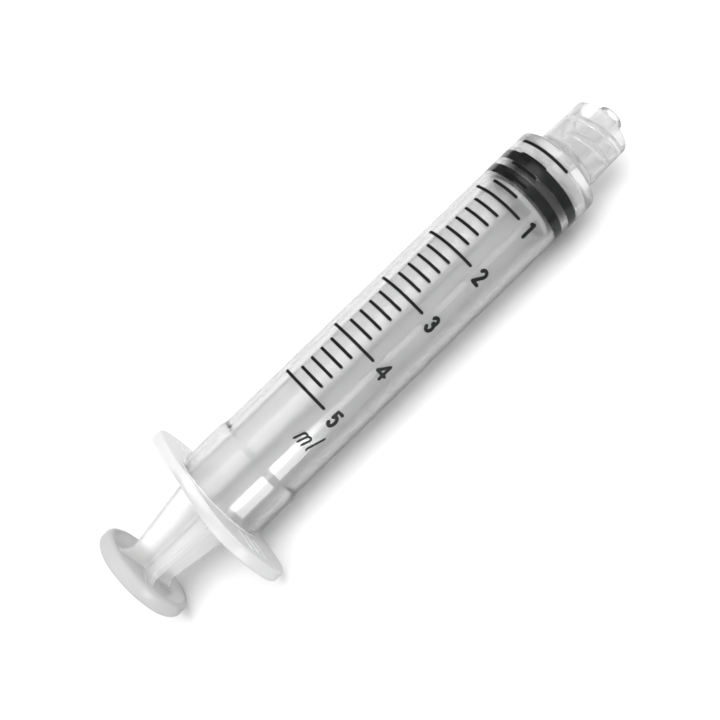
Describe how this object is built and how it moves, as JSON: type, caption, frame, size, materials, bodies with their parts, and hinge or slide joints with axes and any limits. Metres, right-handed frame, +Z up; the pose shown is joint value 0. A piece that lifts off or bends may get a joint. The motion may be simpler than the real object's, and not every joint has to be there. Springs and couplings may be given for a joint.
{
  "type": "syringe",
  "caption": "Clear plastic syringe with a luer lock tip, oval finger flange, printed volume scale, rubber stopper and cross-ribbed plunger rod.",
  "frame": {"origin": "centre of the bounding box at its lowest level, which is the flat of the finger flange that the syringe lies on", "axes": "+X along the barrel's axis towards the luer tip, Y along the flange's wings, +Z up from the flange's lower flat"},
  "size_m": [0.092, 0.0292, 0.0155],
  "materials": {
    "clear_barrel": "gloss",
    "scale_ink": "satin",
    "stopper_rubber": "satin",
    "rod_plastic": "satin"
  },
  "bodies": {
    "barrel": {"barrel": "clear_barrel", "printed_scale": "scale_ink"},
    "stopper": {"stopper": "stopper_rubber"},
    "plunger_rod": {"plunger_rod": "rod_plastic"}
  },
  "joints": [
    {"name": "plunger_slide", "type": "slide", "parent": "barrel", "child": "stopper", "axis": [-1, 0, 0], "range_m": [-0.0015, 0.0497]},
    {"name": "rod_twist", "type": "hinge", "parent": "stopper", "child": "plunger_rod", "pos_m": [0.0275, 0, 0.00775], "axis": [1, 0, 0], "continuous": true}
  ]
}
